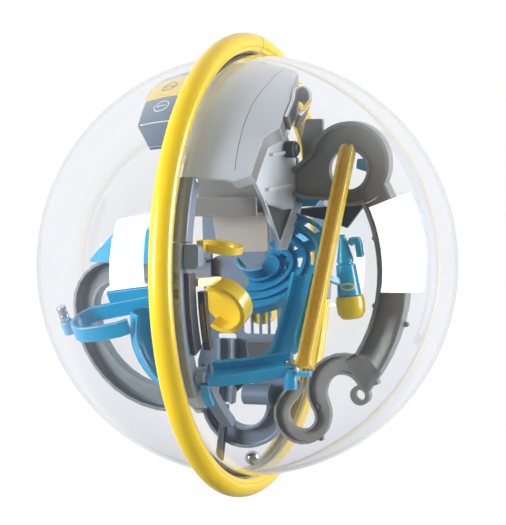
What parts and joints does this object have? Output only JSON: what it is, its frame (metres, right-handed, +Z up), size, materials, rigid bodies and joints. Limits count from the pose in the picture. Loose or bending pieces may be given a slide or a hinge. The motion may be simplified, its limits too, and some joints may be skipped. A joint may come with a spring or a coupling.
{
  "type": "tilt maze game",
  "caption": "Clear globe puzzle: half shells held by a yellow clamp ring, moulded ball tracks inside, and a steel ball that rolls through them when the globe is turned.",
  "frame": {"origin": "centre of the globe", "axes": "+X along the axis of the clamp ring, -Y towards the open side of the main track, +Z up through the start cover"},
  "size_m": [0.196, 0.2158, 0.2158],
  "materials": {
    "clear_polystyrene": "clear polished polystyrene, open to the view",
    "yellow_plastic": "glossy yellow moulded plastic",
    "blue_plastic": "glossy blue moulded plastic",
    "light_grey_plastic": "satin light grey moulded plastic",
    "warm_grey_plastic": "satin warm grey moulded plastic",
    "slate_plastic": "satin slate moulded plastic",
    "blue_grey_plastic": "satin blue-grey moulded plastic",
    "steel": "polished steel"
  },
  "bodies": {
    "globe": {"beam_bracket": "blue_plastic", "beam_lower": "blue_plastic", "beam_peg": "blue_plastic", "beam_peg_cap": "steel", "beam_pin": "light_grey_plastic", "beam_upper": "blue_plastic", "blue_flag": "blue_plastic", "bottom_loop": "slate_plastic", "bottom_rib": "slate_plastic", "center_web": "slate_plastic", "clamp_ring": "yellow_plastic", "dark_shelf": "warm_grey_plastic", "dish_latch": "blue_plastic", "dish_track": "warm_grey_plastic", "dropper_cup": "yellow_plastic", "dropper_hook": "blue_plastic", "dropper_tube": "blue_plastic", "far_frame_strip": "light_grey_plastic", "frame_guide": "slate_plastic", "frame_rail": "slate_plastic", "frame_strap": "warm_grey_plastic", "frame_strip_lower": "blue_grey_plastic", "frame_strip_upper": "blue_grey_plastic", "frame_tab": "warm_grey_plastic", "hemisphere_left": "clear_polystyrene", "hemisphere_right": "clear_polystyrene", "hook_track": "warm_grey_plastic", "hoop": "yellow_plastic", "left_cap_lower": "steel", "left_cap_upper": "steel", "left_chute": "blue_plastic", "left_fork": "blue_plastic", "left_loop": "warm_grey_plastic", "left_peg": "blue_plastic", "left_ramp": "blue_plastic", "left_strip": "light_grey_plastic", "long_rail": "yellow_plastic", "number_plate_one": "slate_plastic", "number_plate_three": "slate_plastic", "number_plate_two": "yellow_plastic", "rail_shoe": "blue_plastic", "rear_cup": "yellow_plastic", "rear_ramp": "blue_plastic", "rear_track": "warm_grey_plastic", "right_lane": "warm_grey_plastic", "scoop": "yellow_plastic", "shade_panel": "warm_grey_plastic", "spiral_cup": "blue_plastic", "spiral_track": "blue_plastic", "start_cover": "light_grey_plastic", "start_knob": "slate_plastic", "start_loop": "light_grey_plastic", "start_panel": "warm_grey_plastic", "start_stud": "light_grey_plastic", "start_tip_lower": "yellow_plastic", "start_tip_upper": "yellow_plastic", "start_tray": "light_grey_plastic", "start_wall": "light_grey_plastic", "web_chute": "slate_plastic"},
    "ball": {"steel_ball": "steel"}
  },
  "joints": [
    {"name": "ball_roll", "type": "hinge", "parent": "globe", "child": "ball", "pos_m": [0, 0, 0], "axis": [1, 0, 0], "range_deg": [-45, 45]}
  ]
}
